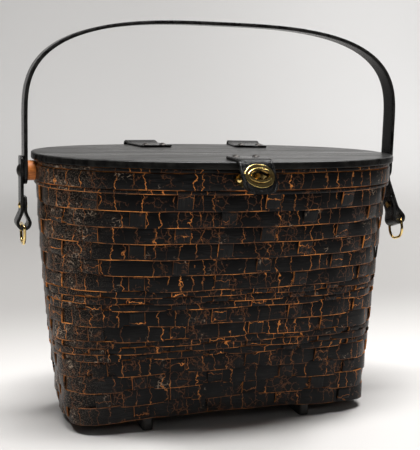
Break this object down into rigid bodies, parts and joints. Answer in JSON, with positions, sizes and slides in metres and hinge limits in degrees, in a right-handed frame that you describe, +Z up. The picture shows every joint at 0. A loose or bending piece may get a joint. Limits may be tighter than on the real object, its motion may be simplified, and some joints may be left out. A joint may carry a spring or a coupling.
{
  "type": "lidded splint basket handbag",
  "caption": "Oval-topped woven splint basket with a flat hinged lid, an arched leather handle, a leather turn-lock clasp and brass rings at both ends.",
  "frame": {"origin": "on the floor under the middle of the base, between the two runners", "axes": "+X along the long side, -Y is the front with the clasp, +Z up"},
  "size_m": [0.3757, 0.2309, 0.3636],
  "materials": {
    "leather": "smooth black strap leather",
    "brass": "polished",
    "dark_metal": "blackened",
    "splint": "black crackle paint over an orange coat",
    "lid_wood": "dark satin paint with faint grain",
    "peg_wood": "stained orange-brown",
    "runner_wood": "dark painted"
  },
  "bodies": {
    "basket": {"woven_body": "splint", "outer_rim_band": "splint", "inner_rim_band": "splint", "lower_rim_reed": "splint", "top_rim_reed": "splint", "left_runner": "runner_wood", "right_runner": "runner_wood", "left_peg": "peg_wood", "right_peg": "peg_wood", "left_peg_bolt": "dark_metal", "right_peg_bolt": "dark_metal", "lock_plate": "brass", "lock_screws": "brass", "left_hinge_strap": "leather", "right_hinge_strap": "leather", "hinge_wall_rivets": "dark_metal"},
    "lid": {"lid_board": "lid_wood", "hinge_lid_rivets": "dark_metal", "clasp_strap": "leather", "clasp_rivets": "dark_metal"},
    "clasp": {"clasp_flap": "leather", "window_plate": "brass", "backing_plate": "brass"},
    "knob": {"turn_knob": "brass"},
    "handle": {"handle_strap": "leather"},
    "left_tab": {"left_ring_tab": "leather", "left_tab_rivet": "brass"},
    "right_tab": {"right_ring_tab": "leather", "right_tab_rivet": "brass"},
    "left_ring_loop": {"left_ring": "brass"},
    "right_ring_loop": {"right_ring": "brass"}
  },
  "joints": [
    {"name": "lid_hinge", "type": "hinge", "parent": "basket", "child": "lid", "pos_m": [0, 0.1025, 0.239], "axis": [-1, 0, 0], "range_deg": [0, 32], "deforming": ["left_hinge_strap", "right_hinge_strap"]},
    {"name": "clasp_fold", "type": "hinge", "parent": "lid", "child": "clasp", "pos_m": [-0.0035, -0.1034, 0.247], "axis": [-1, 0, 0], "range_deg": [-37, 93]},
    {"name": "knob_turn", "type": "hinge", "parent": "basket", "child": "knob", "pos_m": [-0.0035, -0.0996, 0.2305], "axis": [0, -1, 0], "range_deg": [0, 90]},
    {"name": "handle_swing", "type": "hinge", "parent": "basket", "child": "handle", "pos_m": [0, 0, 0.2295], "axis": [1, 0, 0], "range_deg": [-90, 90]},
    {"name": "left_tab_swing", "type": "hinge", "parent": "basket", "child": "left_tab", "pos_m": [-0.1815, 0, 0.2295], "axis": [1, 0, 0], "range_deg": [-35, 35]},
    {"name": "right_tab_swing", "type": "hinge", "parent": "basket", "child": "right_tab", "pos_m": [0.1751, 0, 0.2295], "axis": [1, 0, 0], "range_deg": [-8, 44]},
    {"name": "left_ring_swing", "type": "hinge", "parent": "left_tab", "child": "left_ring_loop", "pos_m": [-0.1801, 0, 0.1815], "axis": [0, 1, 0], "range_deg": [-40, 40]},
    {"name": "right_ring_swing", "type": "hinge", "parent": "right_tab", "child": "right_ring_loop", "pos_m": [0.18217, -0.01649, 0.17876], "axis": [0, 0.9511, -0.309], "range_deg": [-40, 40]}
  ]
}
